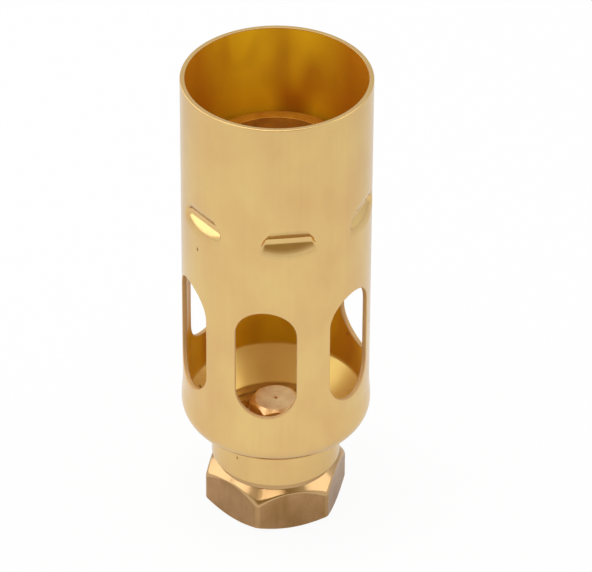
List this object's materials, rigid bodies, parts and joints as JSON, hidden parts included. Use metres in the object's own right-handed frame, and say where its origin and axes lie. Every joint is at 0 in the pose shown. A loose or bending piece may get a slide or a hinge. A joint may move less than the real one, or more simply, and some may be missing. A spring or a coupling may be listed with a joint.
{
  "type": "gas torch burner head",
  "caption": "Brass burner head of a gas torch: an open drawn tube with air slots and punched indents, a flame holder inside, a hexagon connector and a screw-in gas jet.",
  "frame": {"origin": "on the burner's axis, at the bottom face of the hexagon", "axes": "+Z along the axis towards the open mouth; one air slot faces -Y"},
  "size_m": [0.0324, 0.0324, 0.086],
  "materials": {
    "polished_brass": "drawn and polished",
    "holder_brass": "turned",
    "turned_brass": "turned from drawn hexagon bar",
    "jet_brass": "turned",
    "soft_aluminium": "stamped",
    "sintered_bronze": "sintered, rough"
  },
  "bodies": {
    "burner": {"burner_tube": "polished_brass", "flame_holder": "holder_brass", "hex_connector": "turned_brass"},
    "washer": {"jet_washer": "soft_aluminium"},
    "jet": {"gas_jet": "jet_brass", "gas_filter": "sintered_bronze"}
  },
  "joints": [
    {"name": "jet_lift", "type": "slide", "parent": "burner", "child": "washer", "axis": [0, 0, 1], "range_m": [0, 0.0057]},
    {"name": "jet_turn", "type": "hinge", "parent": "washer", "child": "jet", "pos_m": [0, 0, 0.0159], "axis": [0, 0, 1], "range_deg": [0, 2052]}
  ],
  "couplings": [
    {"joint": "jet_turn", "follows": "jet_lift", "rad_per_m": 6283.2}
  ]
}
